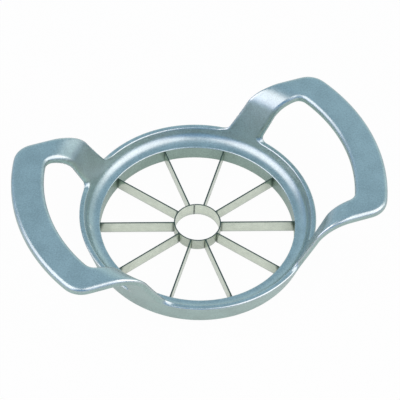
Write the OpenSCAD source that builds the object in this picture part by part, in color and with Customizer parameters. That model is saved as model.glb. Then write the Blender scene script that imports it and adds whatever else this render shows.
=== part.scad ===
// Apple divider: a die-cast ring with two raised loop handles, ten wedge blades and a
// rolled corer strip in the middle. Millimetres, +Z up, +X along the two handles.
// The origin is on the ring's axis, in the plane of its flat base.

/* [Ring] */
// Bore of the ring, the size of fruit it passes
bore_d = 90; // [84:0.5:96]
// Radial width of the flat base
base_w = 5.7; // [4:0.1:6.5]
// Metal left over each blade's seat, at the bore
seat_cover = 0.6; // [0.4:0.05:1.2]
// Radius of the hollow between the ring's shelf and its lip
cove_r = 5.2; // [4:0.1:5.8]
// Height of the ring's outer lip
lip_h = 13.8; // [12.8:0.05:15]
// Thickness of the lip
lip_t = 2.6; // [2.3:0.05:3]
// Radial width from the bore to the outside of the lip
ring_w = 9.5; // [9:0.05:10.5]

/* [Handles] */
// Overall length across both handles
span = 169.4; // [164:0.2:180]
// Overall width across the two arms of a handle
handle_w = 86.8; // [80:0.5:92]
// Height of the handle's top face
handle_h = 39.3; // [34:0.1:48]
// Thickness of the flat grip
grip_t = 4.8; // [4:0.1:6.5]
// Width of the grip from the finger hole to the outside
grip_w = 14.7; // [12:0.1:16]
// Width of each arm
arm_w = 11.2; // [9:0.1:13]
// Rounding along every edge of a handle
edge_r = 1.9; // [1:0.05:1.95]
// Radius of the handle's outer corners, in plan
corner_r = 10.5; // [5:0.1:12]
// Radius of the finger hole's outer corners, in plan
hole_corner_r = 4.5; // [2.5:0.1:6]
// Radius of the bend from the arm into the grip, top face
bend_r = 13; // [10:0.1:15]
// Fillet where an arm leaves the lip
root_fillet = 2.6; // [1.5:0.1:4]

/* [Cutter] */
// Thickness of a blade
blade_t = 0.7; // [0.5:0.05:1.2]
// Height of the blades and of the corer strip
blade_h = 6.9; // [5:0.1:7.5]
// Height of the cutting edges above the base
edge_lift = 0.2; // [0.1:0.05:0.5]
// How far each blade reaches into the ring
blade_seat = 2.5; // [1:0.1:3.5]
// Outside diameter of the corer strip
corer_d = 21.8; // [18:0.1:26]
// Thickness of the corer strip
corer_wall = 0.6; // [0.4:0.05:1]
// Gap at the corer strip's butt seam
seam_gap = 0.15; // [0.05:0.05:0.5]

/* [Hidden] */
$fn = 96;
bore_r = bore_d / 2;
base_r = bore_r + base_w;
rim_r = bore_r + ring_w;

// The blades and their seats in the ring
blade_count = 10;
blade_top = edge_lift + blade_h;
blade_fit = 0.04;
bevel_h = 1.2;
edge_land = 0.14;
corer_r = corer_d / 2;
blade_end_r = bore_r + blade_seat;
first_blade = 180 / blade_count;
seam_angle = 78;
cut_over = 1;

// The ring's section: a level shelf, a hollow, then a leaning wall up to the lip
bore_edge_h = blade_top + blade_fit + seat_cover;
bore_edge_r = 0.5;
foot_chamfer = 0.3;
edge_steps = 4;
cove_steps = 10;
lip_steps = 5;
lip_r = 1.05;
lip_z = lip_h - lip_r;
wall_r = rim_r - lip_t;
outer_run = (rim_r - base_r) / lip_z;

// The sheet of an arm: it carries the lip on upward at the wall's lean, then bends over
// into the thicker grip. Its faces stand proud of the ring's by a hair, to join cleanly.
proud = 0.1;
arm_angle = 70;
grip_z = handle_h - grip_t;
under_share = 0.2;
under_bend_r = bend_r - under_share * grip_t;
bend_rise = bend_r * (1 - cos(arm_angle));
under_rise = under_bend_r * (1 - cos(arm_angle));
top_bend = bend_of(top_line(handle_h - bend_rise), handle_h, bend_r);
under_bend = bend_of(under_line(grip_z - under_rise), grip_z, under_bend_r);
root_rise = 0.2;
root_z = bore_edge_h + root_rise;
root_inset = 0.9;
thin_round = 0.42;
root_steps = 3;
fillet_steps = 4;
wall_steps = 3;
bend_steps = 8;

// The plan of a handle: two straight arms and a grip concentric with the ring
grip_out_r = span / 2;
grip_in_r = grip_out_r - grip_w;
arm_out_y = handle_w / 2;
arm_in_y = arm_out_y - arm_w;
out_c = corner_centre(grip_out_r, arm_out_y, corner_r);
in_c = corner_centre(grip_in_r, arm_in_y, hole_corner_r);
out_a = atan2(out_c.y, out_c.x);
in_a = atan2(in_c.y, in_c.x);
arm_end_gap = 1.5;
arm_end_r = norm([in_c.x - arm_end_gap, arm_in_y]);
arm_end_a = asin(max(0, top_bend[0] - arm_end_r) / bend_r);
arm_end_x = sqrt(arm_end_r * arm_end_r - arm_out_y * arm_out_y);
bar_share = 0.84;
bar_a = bar_share * min(out_a, in_a);
turn_steps = 4;
bar_steps = 6;
round_steps = 3;
across_steps = 3;

steel = "#c4ccc2";
cast_silver = "#8ea9b2";

function lerp(a, b, f) = a + (b - a) * f;

// Points along an arc in a plane, from angle a to angle b
function arc(c, r, a, b, steps) =
    [for (k = [0:steps]) c + r * [cos(lerp(a, b, k / steps)), sin(lerp(a, b, k / steps))]];

// Centre of a corner arc that touches a circle about the axis and a line of constant y
function corner_centre(circle_r, line_y, r) =
    [sqrt(pow(circle_r - r, 2) - pow(line_y - r, 2)), line_y - r];

// Radius of the arm's two faces at a height, on their straight stretches
function top_line(z) = wall_r - proud + (z - lip_z) / tan(arm_angle);
function under_line(z) = rim_r + proud + (z - lip_z) / tan(arm_angle);

// Centre of a bend, as [radius, height], from the arm's face at touch_r to a level one
function bend_of(touch_r, level_z, r) = [touch_r + r * sin(arm_angle), level_z - r];

// Height of a bend's face at a radius, level past the bend's centre
function bend_height(centre, r, at_r) =
    centre[1] + sqrt(r * r - pow(max(centre[0] - at_r, 0), 2));

// One section of a handle: across from the finger hole's edge, and down from the top
function section(w, t, r) = concat(
    arc([r, -r], r, 180, 90, round_steps),
    [for (k = [1:across_steps - 1]) [lerp(r, w - r, k / across_steps), 0]],
    arc([w - r, -r], r, 90, 0, round_steps),
    arc([w - r, r - t], r, 0, -90, round_steps),
    [for (k = [across_steps - 1:-1:1]) [lerp(r, w - r, k / across_steps), -t]],
    arc([r, r - t], r, -90, -180, round_steps)
);

// A section of an arm between a point of the top face and one of the under face,
// both given as [radius, height]. Flare widens it towards the lip.
function arm_section(top, under, flare = 0) =
    let (
        t = norm(under - top),
        w = arm_w + 2 * flare,
        r = min(edge_r, t * thin_round)
    )
    [for (p = section(w, t, r))
        let (
            at = lerp(top, under, -p.y / t),
            y = arm_in_y - flare + p.x
        )
        [sqrt(at[0] * at[0] - y * y), y, at[1]]];

// A section of the corner or the grip between two points of the plan, with the normals
// of the two outlines there
function grip_section(inner, inner_n, outer, outer_n) =
    let (w = norm(outer - inner))
    [for (p = section(w, grip_t, edge_r))
        let (
            from = inner + inner_n * edge_r,
            to = outer - outer_n * edge_r,
            xy = p.x < edge_r ? inner + inner_n * p.x
               : p.x > w - edge_r ? outer - outer_n * (w - p.x)
               : lerp(from, to, (p.x - edge_r) / (w - 2 * edge_r)),
            r = norm(xy),
            z = lerp(bend_height(top_bend, bend_r, r),
                     bend_height(under_bend, under_bend_r, r), -p.y / grip_t)
        )
        [xy.x, xy.y, z]];

// Root of an arm: it starts inside the ring and comes out of it below the lip's top
function arm_root() =
    [for (k = [0:root_steps - 1])
        let (
            f = k / root_steps,
            z = lerp(root_z, lip_h, f)
        )
        arm_section([top_line(z), z], [under_line(z) - root_inset * (1 - f), z], root_fillet)];

// Fillet between the lip's top and the sides of an arm
function arm_fillet() =
    [for (k = [0:fillet_steps])
        let (
            a = 90 * k / fillet_steps,
            z = lip_h + root_fillet * sin(a),
            flare = root_fillet * (1 - cos(90 - a))
        )
        arm_section([top_line(z), z], [under_line(z), z], flare)];

// Leaning stretch of an arm, from its fillet up to the bend
function arm_wall() =
    let (
        low = lip_h + root_fillet,
        top_end = handle_h - bend_rise,
        under_end = grip_z - under_rise
    )
    [for (k = [1:wall_steps - 1])
        let (
            top_z = lerp(low, top_end, k / wall_steps),
            under_z = lerp(low, under_end, k / wall_steps)
        )
        arm_section([top_line(top_z), top_z], [under_line(under_z), under_z])];

// The bend from the leaning arm towards the level grip, as far as the finger hole's corner
function arm_bend() =
    let (
        tops = arc(top_bend, bend_r, 90 + arm_angle, 90 + arm_end_a, bend_steps),
        unders = arc(under_bend, under_bend_r, 90 + arm_angle, 90 + arm_end_a, bend_steps)
    )
    [for (k = [0:bend_steps]) arm_section(tops[k], unders[k])];

// The corner: first round the finger hole's corner, then round the outer one
function corner_turn() =
    concat(
        [for (k = [0:turn_steps - 1])
            let (
                a = lerp(90, in_a, k / turn_steps),
                n = [cos(a), sin(a)],
                x = lerp(arm_end_x, out_c.x, (k + 1) / (turn_steps + 1))
            )
            grip_section(in_c + hole_corner_r * n, n, [x, arm_out_y], [0, 1])],
        [for (k = [0:turn_steps - 1])
            let (
                a = lerp(in_a, bar_a, k / turn_steps),
                b = lerp(90, out_a, k / turn_steps),
                m = [cos(a), sin(a)],
                n = [cos(b), sin(b)]
            )
            grip_section(grip_in_r * m, m, out_c + corner_r * n, n)]
    );

// Half of the grip, up to the X axis
function half_grip() =
    [for (k = [0:bar_steps])
        let (
            a = lerp(bar_a, 0, k / bar_steps),
            b = lerp(out_a, 0, k / bar_steps),
            m = [cos(a), sin(a)],
            n = [cos(b), sin(b)]
        )
        grip_section(grip_in_r * m, m, grip_out_r * n, n)];

// A closed skin through a row of sections with the same number of points
module skin(rows) {
    n = len(rows[0]);
    last = len(rows) - 1;
    polyhedron(
        points = [for (row = rows) each row],
        faces = concat(
            [[for (j = [n - 1:-1:0]) j]],
            [for (i = [0:last - 1], j = [0:n - 1])
                let (k = (j + 1) % n)
                each [[i * n + j, i * n + k, (i + 1) * n + j],
                      [i * n + k, (i + 1) * n + k, (i + 1) * n + j]]],
            [[for (j = [0:n - 1]) last * n + j]]
        )
    );
}

module handle() {
    half = concat(arm_root(), arm_fillet(), arm_wall(), arm_bend(), corner_turn(), half_grip());
    other = [for (i = [len(half) - 2:-1:0]) [for (p = half[i]) [p.x, -p.y, p.z]]];
    skin(concat(half, other));
}

module ring_section() {
    edge_c = [bore_r + bore_edge_r, bore_edge_h - bore_edge_r];
    cove_z = bore_edge_h + cove_r;
    cove_c = [wall_r + (cove_z - lip_z) / tan(arm_angle) - cove_r / sin(arm_angle), cove_z];
    lip_in = [wall_r + lip_r / sin(arm_angle), lip_z];
    lip_out = [rim_r - lip_r, lip_z];
    polygon(concat(
        [[bore_r + foot_chamfer, 0], [bore_r, foot_chamfer]],
        arc(edge_c, bore_edge_r, 180, 90, edge_steps),
        arc(cove_c, cove_r, -90, arm_angle - 90, cove_steps),
        arc(lip_in, lip_r, 90 + arm_angle, 90, lip_steps),
        arc(lip_out, lip_r, 90, -atan(outer_run), lip_steps),
        [[base_r, foot_chamfer], [base_r - foot_chamfer, 0]]
    ));
}

// Cross-section of a blade, thick in X and high in Y, ground from both sides
module blade_section() {
    half = blade_t / 2;
    polygon([[-edge_land / 2, edge_lift], [edge_land / 2, edge_lift],
             [half, edge_lift + bevel_h], [half, blade_top],
             [-half, blade_top], [-half, edge_lift + bevel_h]]);
}

// Seat for a blade's outer end, open at the bore and at the base
module blade_slot() {
    slot_w = blade_t + 2 * blade_fit;
    translate([bore_r - cut_over, -slot_w / 2, -cut_over])
        cube([blade_seat + cut_over, slot_w, blade_top + blade_fit + cut_over]);
}

module casting() {
    color(cast_silver) {
        difference() {
            rotate_extrude() ring_section();
            for (k = [0:blade_count - 1])
                rotate([0, 0, first_blade + k * 360 / blade_count]) blade_slot();
        }
        handle();
        mirror([1, 0, 0]) handle();
    }
}

module corer_strip() {
    color(steel)
        difference() {
            rotate_extrude()
                polygon([[corer_r - corer_wall, edge_lift],
                         [corer_r - corer_wall + edge_land, edge_lift],
                         [corer_r, edge_lift + bevel_h],
                         [corer_r, blade_top],
                         [corer_r - corer_wall, blade_top]]);
            rotate([0, 0, seam_angle])
                translate([corer_r - 2 * corer_wall, -seam_gap / 2, -cut_over])
                    cube([3 * corer_wall, seam_gap, blade_top + 2 * cut_over]);
        }
}

// One wedge blade, from the corer strip into its slot in the ring
module blade(number) {
    color(steel)
        rotate([0, 0, first_blade + (number - 1) * 360 / blade_count])
            difference() {
                rotate([90, 0, 90]) linear_extrude(blade_end_r) blade_section();
                translate([0, 0, -cut_over])
                    cylinder(r = corer_r, h = blade_top + 2 * cut_over);
            }
}

casting();
corer_strip();
blade(1);  // blade_01
blade(2);  // blade_02
blade(3);  // blade_03
blade(4);  // blade_04
blade(5);  // blade_05
blade(6);  // blade_06
blade(7);  // blade_07
blade(8);  // blade_08
blade(9);  // blade_09
blade(10);  // blade_10
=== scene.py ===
"""Apple divider: a die-cast ring with two raised loop handles, ten thin steel blades let
into the ring, and a strip of steel rolled into the corer that the blades meet."""

import math
from itertools import combinations

import bpy
import numpy as np
from mathutils import Matrix, Vector


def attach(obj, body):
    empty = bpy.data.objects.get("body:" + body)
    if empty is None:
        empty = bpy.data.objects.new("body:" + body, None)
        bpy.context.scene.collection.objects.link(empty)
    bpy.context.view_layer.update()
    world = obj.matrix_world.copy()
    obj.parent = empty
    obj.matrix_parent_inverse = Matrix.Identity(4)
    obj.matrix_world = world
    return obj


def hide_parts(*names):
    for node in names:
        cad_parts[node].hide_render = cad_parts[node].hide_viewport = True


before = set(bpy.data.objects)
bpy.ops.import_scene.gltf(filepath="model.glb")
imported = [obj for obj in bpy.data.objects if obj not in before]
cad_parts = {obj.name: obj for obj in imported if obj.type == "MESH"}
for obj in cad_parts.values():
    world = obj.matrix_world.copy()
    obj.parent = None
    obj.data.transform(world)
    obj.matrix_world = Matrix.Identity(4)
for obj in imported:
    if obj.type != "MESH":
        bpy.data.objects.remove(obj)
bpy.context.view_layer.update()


# ---- Casting: ring and handles ------------------------------------------------------
# The real ring and both handles are one aluminium die casting, trimmed and then sprayed
# with a satin silver lacquer. Its shape is one sheet of metal turned about the ring's
# axis: shelf, hollow, leaning wall, bend and level grip. The handles' plan cuts it out.
MM = 0.001
BORE_R = 45.0
BASE_R = 50.7
RIM_R = 54.41
BORE_EDGE_H = 7.74
BORE_EDGE_ROUND = 0.5
FOOT_CHAMFER = 0.3
COVE_R = 5.2
LIP_H = 13.8
LIP_T = 2.6
LIP_ROUND = 1.05
LIP_EDGE_ROUND = 0.35
WALL_LEAN = 70.0
GRIP_TOP = 39.3
GRIP_THICK = 4.8
BEND_R = 13.0
UNDER_BEND_R = 12.04
GRIP_OUT_R = 84.7
GRIP_IN_R = 70.0
ARM_OUT_Y = 43.4
ARM_IN_Y = 32.2
CORNER_R = 10.5
HOLE_CORNER_R = 4.5
PAST_GRIP = 8
EDGE_ROUND = 1.9
ROOT_FILLET = 2.6

# Where the mesh's grid begins, then where each stretch of it ends and its step up to there:
# round one quarter in degrees, and outwards and upwards in mm
TURN_GRID = (0, (18, 1.2), (33, 0.75), (60, 0.5), (90, 1.5))
RADIUS_GRID = (44.7, (46.1, 0.2), (50.0, 0.4), (55.2, 0.3), (62.0, 0.5), (68.0, 0.7),
               (73.0, 0.45), (82.0, 0.9), (85.4, 0.4))
HEIGHT_GRID = (-0.25, (0.75, 0.25), (6.9, 1.1), (8.1, 0.2), (11.0, 0.4), (14.6, 0.3),
               (18.0, 0.55), (30.0, 0.75), (33.9, 0.55), (39.9, 0.33))

# Radii between which the lip's round gives way to the handles', and radii and heights
# between which the lip's crisp inner edge ends
HANDLE_ROUND_R = (59, 66)
LIP_EDGE_R = (52.8, 53.6)
LIP_EDGE_Z = (14, 15)


def arc(centre, radius, start, end, steps):
    """Points round an arc in a plane, from one angle to another in degrees."""
    turn = np.radians(np.linspace(start, end, steps + 1))
    return np.stack([centre[0] + radius * np.cos(turn), centre[1] + radius * np.sin(turn)], 1)


def sheet_outline():
    """The sheet's section from the foot to past the grip, as (radius, height) points."""
    lean = math.radians(WALL_LEAN)
    lip_z = LIP_H - LIP_ROUND
    wall_r = RIM_R - LIP_T
    cove_z = BORE_EDGE_H + COVE_R
    cove_r = wall_r + (cove_z - lip_z) / math.tan(lean) - COVE_R / math.sin(lean)
    top_z = GRIP_TOP - BEND_R
    touch_z = top_z + BEND_R * math.cos(lean)
    top_r = wall_r + (touch_z - lip_z) / math.tan(lean) + BEND_R * math.sin(lean)
    under_z = GRIP_TOP - GRIP_THICK - UNDER_BEND_R
    under_touch = under_z + UNDER_BEND_R * math.cos(lean)
    under_r = RIM_R + (under_touch - lip_z) / math.tan(lean) + UNDER_BEND_R * math.sin(lean)
    foot_r = BASE_R + FOOT_CHAMFER * (RIM_R - BASE_R) / lip_z
    past_r = GRIP_OUT_R + PAST_GRIP
    return np.concatenate([
        [(BORE_R + FOOT_CHAMFER, 0), (BORE_R, FOOT_CHAMFER)],
        arc((BORE_R + BORE_EDGE_ROUND, BORE_EDGE_H - BORE_EDGE_ROUND), BORE_EDGE_ROUND, 180, 90, 8),
        arc((cove_r, cove_z), COVE_R, -90, WALL_LEAN - 90, 16),
        arc((top_r, top_z), BEND_R, 90 + WALL_LEAN, 90, 24),
        [(past_r, GRIP_TOP), (past_r, GRIP_TOP - GRIP_THICK)],
        arc((under_r, under_z), UNDER_BEND_R, 90, 90 + WALL_LEAN, 18),
        [(RIM_R, lip_z), (foot_r, FOOT_CHAMFER), (BASE_R - FOOT_CHAMFER, 0)],
    ])


def outline_distance(points, outline):
    """Distance from points to a closed outline, less than nothing inside it."""
    nearest = np.full(len(points), np.inf)
    inside = np.zeros(len(points), bool)
    for start, end in zip(outline, np.roll(outline, -1, axis=0)):
        edge = end - start
        offset = points - start
        along = np.clip(offset @ edge / (edge @ edge), 0, 1)
        nearest = np.minimum(nearest, ((offset - along[:, None] * edge) ** 2).sum(1))
        if edge[1]:
            crosses = (start[1] <= points[:, 1]) != (end[1] <= points[:, 1])
            inside ^= crosses & (offset[:, 0] < offset[:, 1] * edge[0] / edge[1])
    return np.where(inside, -1, 1) * np.sqrt(nearest)


def loop_distance(x, y, grip_r, arm_y, corner_r):
    """Distance in plan from one rim of a handle: straight arms, round corners, and a grip
    that runs round the ring's axis."""
    corner_x = math.sqrt((grip_r - corner_r) ** 2 - (arm_y - corner_r) ** 2)
    corner_y = arm_y - corner_r
    past_x = x - corner_x
    past_y = y - corner_y
    on_grip = past_y * corner_x < past_x * corner_y
    to_corner = np.hypot(past_x, past_y) - corner_r
    return np.where(on_grip, np.hypot(x, y) - grip_r, np.where(past_x < 0, y - arm_y, to_corner))


def rounded_cut(a, b, rounding):
    """Distance from what two shapes share, with the edge between them rounded."""
    a = a + rounding
    b = b + rounding
    outside = np.hypot(np.maximum(a, 0), np.maximum(b, 0))
    return np.minimum(np.maximum(a, b), 0) + outside - rounding


def filleted_join(a, b, fillet):
    """Distance from two shapes together, with a fillet in the corner between them."""
    inside = np.hypot(np.maximum(fillet - a, 0), np.maximum(fillet - b, 0))
    return np.maximum(fillet, np.minimum(a, b)) - inside


def grid_line(start, *stretches):
    """Values along a line, given its start and each stretch's end and step."""
    values = [start]
    for end, step in stretches:
        count = round((end - values[-1]) / step)
        values.extend(np.linspace(values[-1], end, count + 1)[1:])
    return np.array(values)


def casting_grid():
    """The casting as a distance at each point of a grid of angle, radius and height. The
    grid is fine where an edge or a fillet lies, and coarse along the flat stretches."""
    quarter = grid_line(*TURN_GRID)
    there = quarter[:-1]
    back = -quarter[:0:-1]
    turn = np.radians(np.concatenate([there, 180 + back, 180 + there, 360 + back]))
    radius = grid_line(*RADIUS_GRID)
    height = grid_line(*HEIGHT_GRID)
    r, z = np.meshgrid(radius, height, indexing="ij")
    points = np.stack([r.ravel(), z.ravel()], 1)
    sheet = outline_distance(points, sheet_outline()).reshape(r.shape)
    x = np.abs(radius * np.cos(turn)[:, None])
    y = np.abs(radius * np.sin(turn)[:, None])
    plan = np.maximum(loop_distance(x, y, GRIP_OUT_R, ARM_OUT_Y, CORNER_R),
                      -loop_distance(x, y, GRIP_IN_R, ARM_IN_Y, HOLE_CORNER_R))
    below_lip = (height - LIP_H)[None, None, :]
    kept = filleted_join(plan[:, :, None], below_lip, ROOT_FILLET)
    handle_round = np.interp(radius, HANDLE_ROUND_R, (LIP_ROUND, EDGE_ROUND))
    near_lip = np.outer(np.interp(radius, LIP_EDGE_R, (1, 0)),
                        np.interp(height, LIP_EDGE_Z, (1, 0)))
    rounding = handle_round[:, None] - near_lip * (LIP_ROUND - LIP_EDGE_ROUND)
    return turn, radius, height, rounded_cut(sheet[None], kept, rounding[None])


def skin(turn, radius, height, distance):
    """A closed mesh where the distance is nothing: a vertex in each cell that the surface
    crosses, and a face round each grid edge that it crosses."""
    inside = distance < 0
    shape = np.array(distance.shape)
    corners = np.array([[i, j, k] for i in (0, 1) for j in (0, 1) for k in (0, 1)])
    filled = sum(np.roll(inside, tuple(-c), (0, 1, 2)).astype(np.int8) for c in corners)
    cells = np.argwhere((filled > 0) & (filled < len(corners)))
    number = np.full(shape, -1)
    number[tuple(cells.T)] = np.arange(len(cells))
    at = cells[:, None] + corners
    full_turn = np.append(turn, 2 * math.pi)
    place = np.stack([full_turn[at[..., 0]], radius[at[..., 1]], height[at[..., 2]]], -1)
    value = distance[tuple(np.moveaxis(at % shape, -1, 0))]
    total = np.zeros((len(cells), 3))
    count = np.zeros((len(cells), 1))
    for a, b in combinations(range(len(corners)), 2):
        if abs(corners[a] - corners[b]).sum() == 1:
            cut = ((value[:, a] < 0) != (value[:, b] < 0))[:, None]
            gap = np.where(cut, (value[:, a] - value[:, b])[:, None], 1)
            share = value[:, a, None] / gap
            total += np.where(cut, place[:, a] + share * (place[:, b] - place[:, a]), 0)
            count += cut
    t, r, z = (total / count).T
    vertices = np.stack([r * np.cos(t), r * np.sin(t), z], 1)
    faces = []
    for axis in range(3):
        edges = np.argwhere(inside != np.roll(inside, -1, axis))
        step = np.eye(3, dtype=int)
        u = step[(axis + 1) % 3]
        v = step[(axis + 2) % 3]
        ring = np.stack([number[tuple(((edges - d) % shape).T)] for d in (0 * u, u, u + v, v)], 1)
        leaving = inside[tuple(edges.T)][:, None]
        faces.append(np.where(leaving, ring[:, ::-1], ring))
    return vertices, np.concatenate(faces)


class Strand:
    """A node tree's socket in an expression. Sums of strands add the Math nodes that work
    them out, and node() adds any other node and gives its output."""

    def __init__(self, tree, socket=None):
        self.tree = tree
        self.socket = socket

    def node(self, kind, settings=None, inputs=None, output=0):
        made = self.tree.nodes.new(kind)
        for name, value in (settings or {}).items():
            setattr(made, name, value)
        for name, value in (inputs or {}).items():
            if isinstance(value, Strand):
                self.tree.links.new(value.socket, made.inputs[name])
            else:
                made.inputs[name].default_value = value
        return Strand(self.tree, made.outputs[output])

    def math(self, operation, a, b=0.0):
        return self.node("ShaderNodeMath", {"operation": operation}, {0: a, 1: b})

    def __add__(self, other):
        return self.math("ADD", self, other)

    def __sub__(self, other):
        return self.math("SUBTRACT", self, other)

    def __rsub__(self, other):
        return self.math("SUBTRACT", other, self)

    def __mul__(self, other):
        return self.math("MULTIPLY", self, other)

    def __truediv__(self, other):
        return self.math("DIVIDE", self, other)

    def __rtruediv__(self, other):
        return self.math("DIVIDE", other, self)

    def __pow__(self, other):
        return self.math("POWER", self, other)

    def __rpow__(self, other):
        return self.math("POWER", other, self)

    def __abs__(self):
        return self.math("ABSOLUTE", self)

    __radd__ = __add__
    __rmul__ = __mul__

    def rise(self, start, end):
        """Smoothly from 0 at one value to 1 at the other."""
        return self.node("ShaderNodeMapRange", {"interpolation_type": "SMOOTHSTEP"},
                         {"Value": self, "From Min": start, "From Max": end})

    def blend(self, a, b):
        """Colour a where this strand is 0, and colour b where it is 1."""
        return self.node("ShaderNodeMix", {"data_type": "RGBA"}, {0: self, 6: a, 7: b}, output=2)

    def part(self, axis):
        """One coordinate of a vector."""
        return self.node("ShaderNodeSeparateXYZ", {}, {0: self}, output=axis)

    def stretched(self, x, y, z):
        """A vector with each coordinate multiplied."""
        return self.node("ShaderNodeVectorMath", {"operation": "MULTIPLY"}, {0: self, 1: (x, y, z)})

    def scaled(self, factor):
        """A vector made longer, or a colour made brighter."""
        return self.node("ShaderNodeVectorMath", {"operation": "SCALE"}, {0: self, "Scale": factor})

    def length(self):
        """The length of a vector."""
        return self.node("ShaderNodeVectorMath", {"operation": "LENGTH"}, {0: self}, output="Value")

    def noise(self, detail):
        """Cloudy values about 0.5, one cloud to each unit of this vector."""
        return self.node("ShaderNodeTexNoise", {},
                         {"Vector": self, "Scale": 1.0, "Detail": detail})

    def bump(self, strength, depth):
        """A normal for a surface whose fine relief is this strand, with its depth in mm."""
        return self.node("ShaderNodeBump", {}, {"Strength": strength, "Distance": depth * MM,
                                                "Height": self})


def metal_finish(name):
    """A new metal material: it, its bare Principled shader, and the place on the piece in mm."""
    material = bpy.data.materials.new(name)
    material.use_nodes = True
    shader = material.node_tree.nodes["Principled BSDF"]
    shader.inputs["Metallic"].default_value = 1.0
    tree = Strand(material.node_tree)
    place = tree.node("ShaderNodeTexCoord", {}, {}, "Object").scaled(1 / MM)
    return material, shader, place


def feed(shader, **strands):
    """Links strands to a shader's sockets, given by name with _ for a space."""
    for name, strand in strands.items():
        strand.tree.links.new(strand.socket, shader.inputs[name.replace("_", " ")])


LACQUER_FULL = (0.400, 0.506, 0.528, 1)
LACQUER_SIDE_REFLECTION = (0.395, 0.535, 0.500, 1)
LACQUER_IN_BORE = (0.330, 0.445, 0.395, 1)
RUBBED_METAL_AND_SHEEN = (0.62, 0.66, 0.66, 1)
LACQUER_ROUGH = 0.34
LACQUER_BUMP = 0.2
LACQUER_BUMP_DEPTH = 0.03
FLAKES_PER_MM = 1.5
CLOUDS_PER_MM = 0.11
PEEL_PER_MM = 1.1
MOTTLE = 0.3
EDGE_RUB_AND_SHEEN = 0.45

# How much of the mottle is flakes, how far the flakes and clouds move the roughness, how
# much smoother a sharp edge is, and how high the flakes and the orange peel stand
FLAKES_IN_MOTTLE = 0.65
FLAKES_ROUGH = 0.14
CLOUDS_ROUGH = 0.06
EDGE_POLISH = 0.13
FLAKES_HEIGHT = 0.8
PEEL_HEIGHT = 0.4

# Values between which each comes or goes: the painted tint for the room that side faces
# reflect, by how far a face looks up, the bore's tint by radius, the rubbed edges and their
# painted highlight by how sharp they are, the rubbed foot by height, with a ragged edge, and
# the mottle by noise
FACING_UP = (0.08, 0.32)
OUT_OF_BORE = (BORE_R + 0.02, BORE_R + 0.15)
SHARP_EDGE = (0.507, 0.535)
OFF_FOOT = (0.3, 0.7)
FOOT_RAGGED = 0.5
MOTTLE_NOISE = (0.32, 0.68)

silver_lacquer, shader, place = metal_finish("silver_lacquer")
flakes = place.scaled(FLAKES_PER_MM).noise(detail=3.0)
clouds = place.scaled(CLOUDS_PER_MM).noise(detail=3.0)
orange_peel = place.scaled(PEEL_PER_MM).noise(detail=1.0)
upward = place.node("ShaderNodeTexCoord", {}, {}, "Normal").part(2).rise(*FACING_UP)
bore = 1 - place.stretched(1, 1, 0).length().rise(*OUT_OF_BORE)
edge = place.node("ShaderNodeNewGeometry", {}, {}, "Pointiness").rise(*SHARP_EDGE)
foot_rub = 1 - (place.part(2) + clouds * FOOT_RAGGED).rise(*OFF_FOOT)
# Faces that do not look up take a painted tint for the room they reflect, and the bore's wall is
# coloured darker and greener.
coat_and_painted_tint = upward.blend(bore.blend(LACQUER_SIDE_REFLECTION, LACQUER_IN_BORE), LACQUER_FULL)
mottle = flakes * FLAKES_IN_MOTTLE + clouds * (1 - FLAKES_IN_MOTTLE)
coat_and_painted_tint = coat_and_painted_tint.scaled(1 + (mottle.rise(*MOTTLE_NOISE) - 0.5) * MOTTLE)
speckle = (flakes - 0.5) * FLAKES_ROUGH + (clouds - 0.5) * CLOUDS_ROUGH
relief = flakes * FLAKES_HEIGHT + orange_peel * PEEL_HEIGHT
# The worn foot shows rubbed bare metal. Sharp edges get the same bright metal, which is partly
# rubbed and partly a painted highlight.
feed(shader,
     Base_Color=(foot_rub + edge * EDGE_RUB_AND_SHEEN).blend(coat_and_painted_tint, RUBBED_METAL_AND_SHEEN),
     Roughness=LACQUER_ROUGH + speckle - edge * EDGE_POLISH,
     Normal=relief.bump(LACQUER_BUMP, LACQUER_BUMP_DEPTH))

vertices, faces = skin(*casting_grid())
casting_mesh = bpy.data.meshes.new("casting_body")
casting_mesh.from_pydata((vertices * MM).tolist(), [], faces.tolist())
casting_mesh.shade_smooth()
casting_mesh.materials.append(silver_lacquer)
casting = bpy.data.objects.new("casting_body", casting_mesh)
bpy.context.scene.collection.objects.link(casting)
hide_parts("casting")
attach(casting, "root")


# ---- Wedge blades -------------------------------------------------------------------
# The ten real blades are cut from rolled stainless strip. Each has a cutting edge ground
# along its lower side from both faces, a sheared upper side, an outer end let into a slot
# in the ring, and an inner end welded to the corer strip.
BLADE_COUNT = 10
BLADE_T = 0.7
EDGE_LIFT = 0.2
BLADE_TOP = 7.1
BEVEL_H = 1.2
EDGE_LAND = 0.14
SHEAR_ROUND = 0.1
CORER_R = 10.9
WELD_DEPTH = 0.1
BLADE_END_R = 47.5
SHARP_TURN = math.radians(25)

STEEL_LIGHT = (0.82, 0.90, 0.775, 1)
STEEL_DARK = (0.66, 0.73, 0.625, 1)
STEEL_GROUND = (0.67, 0.73, 0.66, 1)
STEEL_TOP_SHADE = (0.13, 0.16, 0.135, 1)
STEEL_SHADE = (0.09, 0.125, 0.10, 1)
STEEL_ROUGH = 0.2
STEEL_BUMP = 0.25
STEEL_BUMP_DEPTH = 0.02

# The grain and the scratches are drawn out level, as the strip was rolled, so they have
# fewer clouds to each mm along and across the blades than upwards
GRAIN_PER_MM = (0.16, 0.16, 9)
SCRATCHES_PER_MM = (1.4, 1.4, 40)
SMEARS_PER_MM = 0.35
GRAIN_IN_COLOUR = 0.6
GRAIN_NOISE = (0.3, 0.7)
GRAIN_ROUGH = 0.1
SMEARS_ROUGH = 0.08
SCRATCHES_IN_BUMP = 0.6

# Heights between which the ground band ends and the sheared top begins
GROUND_EDGE = (EDGE_LIFT + BEVEL_H - 0.12, EDGE_LIFT + BEVEL_H + 0.12)
SHEARED_EDGE = (BLADE_TOP - 0.13, BLADE_TOP - 0.04)

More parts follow.
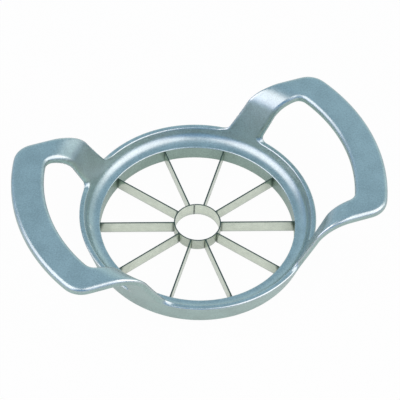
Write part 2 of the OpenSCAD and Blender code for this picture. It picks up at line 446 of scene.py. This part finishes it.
# How far towards its shade the steel goes in the ring's corner, along the blade's outer
# part and at the corer, and the distances from the ring's axis between which it does. The
# corner's shade starts nearer the axis at the top of the blade, by its lean for each mm.
RING_SHADE = 0.75
RING_SHADE_LEAN = 0.25
OUTER_SHADE = 0.2
CORER_SHADE = 0.8
AT_RING = (BORE_R - 0.9, BORE_R + 1.1)
OUTER_PART = (BORE_R - 9, BORE_R)
OFF_CORER = (CORER_R + 0.1, CORER_R + 1.4)


def growth_tree(name, sizes):
    """A new Geometry Nodes tree with one output: a strand for each of its inputs, by name."""
    tree = bpy.data.node_groups.new(name, "GeometryNodeTree")
    tree.interface.new_socket("Outline", in_out="INPUT", socket_type="NodeSocketGeometry")
    for label, kind in sizes.items():
        tree.interface.new_socket(label, in_out="INPUT", socket_type="NodeSocket" + kind)
    tree.interface.new_socket("Piece", in_out="OUTPUT", socket_type="NodeSocketGeometry")
    group = tree.nodes.new("NodeGroupInput")
    return {socket.name: Strand(tree, socket) for socket in group.outputs if socket.name}


def end_growth(piece, metal):
    """Ends a tree with real geometry in one metal, and gives the tree."""
    real = piece.node("GeometryNodeRealizeInstances", {}, {"Geometry": piece})
    real = piece.node("GeometryNodeSetMaterial", {}, {"Geometry": real, "Material": metal})
    end = piece.tree.nodes.new("NodeGroupOutput")
    piece.tree.links.new(real.socket, end.inputs[0])
    return piece.tree


def grown(name, outline, tree, sizes):
    """A plain piece that a Geometry Nodes tree makes from a closed outline in mm. A level
    path carries an outline upside down, so it goes in with its height downwards, and the
    faces are turned outwards again."""
    count = len(outline)
    seed_mesh = bpy.data.meshes.new(name + "_outline")
    seed_mesh.from_pydata([(x * MM, -y * MM, 0) for x, y in outline],
                          [(k, (k + 1) % count) for k in range(count)], [])
    seed = bpy.data.objects.new(name + "_outline", seed_mesh)
    bpy.context.scene.collection.objects.link(seed)
    growth = seed.modifiers.new("growth", "NODES")
    growth.node_group = tree
    for item in tree.interface.items_tree:
        if item.name in sizes:
            growth[item.identifier] = sizes[item.name]
    dressed = seed.evaluated_get(bpy.context.evaluated_depsgraph_get())
    mesh = bpy.data.meshes.new_from_object(dressed)
    bpy.data.objects.remove(seed)
    # An empty material slot can come before the metal's
    while mesh.materials[0] is None:
        mesh.materials.pop(index=0)
    mesh.flip_normals()
    mesh.shade_smooth()
    mesh.set_sharp_from_angle(angle=SHARP_TURN)
    piece = bpy.data.objects.new(name, mesh)
    bpy.context.scene.collection.objects.link(piece)
    return piece


def strip_section(inner, outer):
    """Half of a strip's section as it is ground and sheared, from edge to rounded top."""
    turn = arc((outer - SHEAR_ROUND, BLADE_TOP - SHEAR_ROUND), SHEAR_ROUND, 0, 90, 3)
    return [(inner, EDGE_LIFT), (outer, EDGE_LIFT + BEVEL_H)] + [tuple(p) for p in turn]


def rolled_steel(name):
    """A new rolled steel: the material, its shader, the place in mm, the height, the distance
    from the ring's axis, and the steel's colour with its top painted dark as shade, before any
    other shade."""
    material, shader, place = metal_finish(name)
    height = place.part(2)
    from_axis = place.stretched(1, 1, 0).length()
    grain = place.stretched(*GRAIN_PER_MM).noise(detail=3.0)
    smears = place.scaled(SMEARS_PER_MM).noise(detail=2.0)
    scratches = place.stretched(*SCRATCHES_PER_MM).noise(detail=1.0)
    rolled = grain * GRAIN_IN_COLOUR + smears * (1 - GRAIN_IN_COLOUR)
    colour = rolled.rise(*GRAIN_NOISE).blend(STEEL_DARK, STEEL_LIGHT)
    ground = 1 - height.rise(*GROUND_EDGE)
    colour = ground.blend(colour, STEEL_GROUND)
    # The sheared top edge is painted near black: painted shade along the top of the steel.
    colour = height.rise(*SHEARED_EDGE).blend(colour, STEEL_TOP_SHADE)
    streaks = (grain - 0.5) * GRAIN_ROUGH + (smears - 0.5) * SMEARS_ROUGH
    relief = scratches * SCRATCHES_IN_BUMP + grain * (1 - SCRATCHES_IN_BUMP)
    feed(shader, Roughness=STEEL_ROUGH + streaks,
         Normal=relief.bump(STEEL_BUMP, STEEL_BUMP_DEPTH))
    return material, shader, place, height, from_axis, colour


blade_steel, shader, place, height, from_axis, colour = rolled_steel("blade_steel")
at_ring = (from_axis + height * RING_SHADE_LEAN).rise(*AT_RING)
outer_part = from_axis.rise(*OUTER_PART)
at_corer = 1 - from_axis.rise(*OFF_CORER)
shade = at_ring * RING_SHADE + outer_part * OUTER_SHADE + at_corer * CORER_SHADE
feed(shader, Base_Color=shade.blend(colour, STEEL_SHADE))

given = growth_tree("blade_growth", {"Inner radius": "Float", "Outer radius": "Float",
                                     "Blades": "Int", "First turn": "Float"})
outline = given["Outline"]
inner_end = outline.node("ShaderNodeCombineXYZ", {}, {"X": given["Inner radius"]})
outer_end = outline.node("ShaderNodeCombineXYZ", {}, {"X": given["Outer radius"]})
run = outline.node("GeometryNodeCurvePrimitiveLine", {}, {"Start": inner_end, "End": outer_end})
run = run.node("GeometryNodeSetCurveNormal", {"mode": "Z_UP"}, {"Curve": run})
section = outline.node("GeometryNodeMeshToCurve", {}, {"Mesh": outline})
blade = run.node("GeometryNodeCurveToMesh", {},
                 {"Curve": run, "Profile Curve": section, "Fill Caps": True})
number = outline.node("GeometryNodeInputIndex")
turn = given["First turn"] + number * (2 * math.pi) / given["Blades"]
turned = turn.node("FunctionNodeEulerToRotation", {},
                   {"Euler": turn.node("ShaderNodeCombineXYZ", {}, {"Z": turn})})
hub = outline.node("GeometryNodePoints", {}, {"Count": given["Blades"]})
star = hub.node("GeometryNodeInstanceOnPoints", {},
                {"Points": hub, "Instance": blade, "Rotation": turned})

half = strip_section(EDGE_LAND / 2, BLADE_T / 2)
blades = grown("wedge_blades", half + [(-x, y) for x, y in reversed(half)],
               end_growth(star, blade_steel),
               {"Inner radius": (CORER_R - WELD_DEPTH) * MM, "Outer radius": BLADE_END_R * MM,
                "Blades": BLADE_COUNT, "First turn": math.pi / BLADE_COUNT})
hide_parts(*[f"blade_{k:02d}" for k in range(1, BLADE_COUNT + 1)])
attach(blades, "root")


# ---- Corer strip --------------------------------------------------------------------
# The real corer is a strip of the same steel rolled into a short tube, with its ends
# butted together on the far side. Its lower rim is ground from outside to a cutting
# edge, and the blades' inner ends are welded round it.
CORER_WALL = 0.6
SEAM_TURN = 78.0
SEAM_GAP = 0.15
CORER_STEPS = 180

# The painted shade where each blade meets the corer gets narrower with the power that its wave is
# raised to
JOINT_SHADE_NARROW = 14
JOINT_SHADE_STRENGTH = 0.7
OUTSIDE_SHADE = 0.25

# Radii between which the outside's shade begins, and turns from the seam between which its
# dark line ends
OUTSIDE_R = (CORER_R - 0.2, CORER_R - 0.05)
OFF_SEAM = (math.radians(1.0), math.radians(2.8))

corer_steel, shader, place, height, from_axis, colour = rolled_steel("corer_steel")
bearing = place.math("ARCTAN2", place.part(1), place.part(0))
# Painted shade on the corer's outside, all round and deeper in the corners at each blade
blade_joint_shade = (0.5 - place.math("COSINE", bearing * BLADE_COUNT) * 0.5) ** JOINT_SHADE_NARROW
outside = from_axis.rise(*OUTSIDE_R)
seam = 1 - abs(bearing - math.radians(SEAM_TURN)).rise(*OFF_SEAM)
shade = outside * OUTSIDE_SHADE + blade_joint_shade * outside * JOINT_SHADE_STRENGTH + seam
feed(shader, Base_Color=shade.blend(colour, STEEL_SHADE))

given = growth_tree("corer_growth", {"Radius": "Float", "Steps": "Int", "Seam turn": "Float",
                                     "Seam gap": "Float"})
outline = given["Outline"]
gap_turn = given["Seam gap"] / given["Radius"]
loop = outline.node("GeometryNodeCurveArc", {}, {
    "Resolution": given["Steps"], "Radius": given["Radius"],
    "Start Angle": given["Seam turn"] + gap_turn / 2, "Sweep Angle": 2 * math.pi - gap_turn})
loop = loop.node("GeometryNodeSetCurveNormal", {"mode": "Z_UP"}, {"Curve": loop})
section = outline.node("GeometryNodeMeshToCurve", {}, {"Mesh": outline})
tube = loop.node("GeometryNodeCurveToMesh", {},
                 {"Curve": loop, "Profile Curve": section, "Fill Caps": True})

half = strip_section(EDGE_LAND, CORER_WALL)
top_inside = arc((SHEAR_ROUND, BLADE_TOP - SHEAR_ROUND), SHEAR_ROUND, 90, 180, 3)
wall = half + [tuple(p) for p in top_inside] + [(0.0, EDGE_LIFT)]
corer = grown("corer", [(x - CORER_WALL, y) for x, y in wall], end_growth(tube, corer_steel),
              {"Radius": CORER_R * MM, "Steps": CORER_STEPS,
               "Seam turn": math.radians(SEAM_TURN), "Seam gap": SEAM_GAP * MM})
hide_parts("corer_strip")
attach(corer, "root")


# ---- Floor and backdrop -------------------------------------------------------------
# The object stands on a white sheet that runs out of sight. The camera sees plain white
# with a trace of the object's soft shadow, and metal mirrors half white and half lit paper.
FLOOR_HALF = 4.0
PAPER_COLOUR = (0.52, 0.52, 0.52, 1)
PAPER_WHITE = 0.97
PAPER_MIRRORED = 0.5

floor_mesh = bpy.data.meshes.new("floor")
floor_mesh.from_pydata([(-FLOOR_HALF, -FLOOR_HALF, 0), (FLOOR_HALF, -FLOOR_HALF, 0),
                        (FLOOR_HALF, FLOOR_HALF, 0), (-FLOOR_HALF, FLOOR_HALF, 0)],
                       [], [(0, 1, 2, 3)])
floor = bpy.data.objects.new("floor", floor_mesh)
bpy.context.scene.collection.objects.link(floor)

paper = bpy.data.materials.new("white_paper")
paper.use_nodes = True
paper.node_tree.nodes.clear()
tree = Strand(paper.node_tree)
seen = tree.node("ShaderNodeLightPath", {}, {}, "Is Camera Ray")
mirrored = tree.node("ShaderNodeLightPath", {}, {}, "Is Glossy Ray")
through = tree.node("ShaderNodeLightPath", {}, {}, "Is Transmission Ray")
plain = seen * PAPER_WHITE + (mirrored + through) * PAPER_MIRRORED
lit = tree.node("ShaderNodeBsdfDiffuse", {}, {"Color": PAPER_COLOUR})
white = tree.node("ShaderNodeEmission", {}, {"Strength": 1.0})
sheet = tree.node("ShaderNodeMixShader", {}, {0: plain, 1: lit, 2: white})
end = paper.node_tree.nodes.new("ShaderNodeOutputMaterial")
paper.node_tree.links.new(sheet.socket, end.inputs[0])
floor_mesh.materials.append(paper)


# ---- Light and camera ---------------------------------------------------------------
# A pale blue room and two big softboxes, one on each side of the camera, whose long
# reflections run round the ring's hollow and along the handles' bends.
CEILING_COLOUR = (0.435, 0.590, 0.705, 1)
FRONT_WALL_COLOUR = (0.28, 0.49, 0.75, 1)
BACK_WALL_COLOUR = (0.80, 0.92, 0.93, 1)
BACK_WALL_TURN = 145
WALLS_MIX = (-0.6, 1.0)
CEILING_MIX = (0.35, 0.85)
BOX_SIDE = 66
BOX_RISE = 40
BOX_FAR = 1.0
BOX_SIZE = (1.3, 1.1)
BOX_BRIGHT = 1.94
BOX_COLOUR = (1.0, 0.774, 0.717)
CAMERA_TURN = -22.47
CAMERA_RISE = 51.70
CAMERA_ROLL = 3.09
CAMERA_FAR = 0.925
PICTURE_PX = 400
FOCAL_PX = 1990.4

# Where the middle of the ring's foot lies in the picture, from its top left corner
ORIGIN_PX = (196.99, 231.70)
SENSOR_MM = 36.0
NEAREST = 0.01
FURTHEST = 50


def direction(turn, rise):
    """The unit vector from the ring at a turn from the front and a rise, both in degrees."""
    a = math.radians(turn)
    e = math.radians(rise)
    return Vector((math.sin(a) * math.cos(e), -math.cos(a) * math.cos(e), math.sin(e)))


world = bpy.data.worlds.new("room")
world.use_nodes = True
tree = Strand(world.node_tree)
gaze = tree.node("ShaderNodeTexCoord", {}, {}, "Generated")
behind = gaze.node("ShaderNodeVectorMath", {"operation": "DOT_PRODUCT"},
                   {0: gaze, 1: direction(CAMERA_TURN + BACK_WALL_TURN, 0)}, "Value")
walls = behind.rise(*WALLS_MIX).blend(FRONT_WALL_COLOUR, BACK_WALL_COLOUR)
room = gaze.part(2).rise(*CEILING_MIX).blend(walls, CEILING_COLOUR)
world.node_tree.links.new(room.socket, world.node_tree.nodes["Background"].inputs["Color"])
bpy.context.scene.world = world

for name, side in (("left_softbox", -BOX_SIDE), ("right_softbox", BOX_SIDE)):
    box = bpy.data.lights.new(name, "AREA")
    box.shape = "RECTANGLE"
    box.size, box.size_y = BOX_SIZE
    box.color = BOX_COLOUR
    box.energy = BOX_BRIGHT * math.pi * BOX_SIZE[0] * BOX_SIZE[1]
    towards = direction(CAMERA_TURN + side, BOX_RISE)
    lamp = bpy.data.objects.new(name, box)
    lamp.rotation_euler = towards.to_track_quat("Z", "Y").to_euler()
    lamp.location = towards * BOX_FAR
    bpy.context.scene.collection.objects.link(lamp)

lens = bpy.data.cameras.new("camera")
lens.sensor_width = SENSOR_MM
lens.lens = FOCAL_PX / PICTURE_PX * SENSOR_MM
lens.clip_start = NEAREST
lens.clip_end = FURTHEST
camera = bpy.data.objects.new("camera", lens)
bpy.context.scene.collection.objects.link(camera)
bpy.context.scene.camera = camera
back = direction(CAMERA_TURN, CAMERA_RISE)
level_right = direction(CAMERA_TURN + 90, 0)
roll = Matrix.Rotation(math.radians(CAMERA_ROLL), 3, back)
right = roll @ level_right
axes = Matrix((right, back.cross(right), back)).transposed()
middle = PICTURE_PX / 2
to_origin = Vector((ORIGIN_PX[0] - middle, middle - ORIGIN_PX[1], -FOCAL_PX))
aim = to_origin.rotation_difference(Vector((0, 0, -1))).to_matrix()
camera.matrix_world = Matrix.Translation(back * CAMERA_FAR) @ (axes @ aim).to_4x4()

bpy.context.scene.view_settings.view_transform = "Standard"
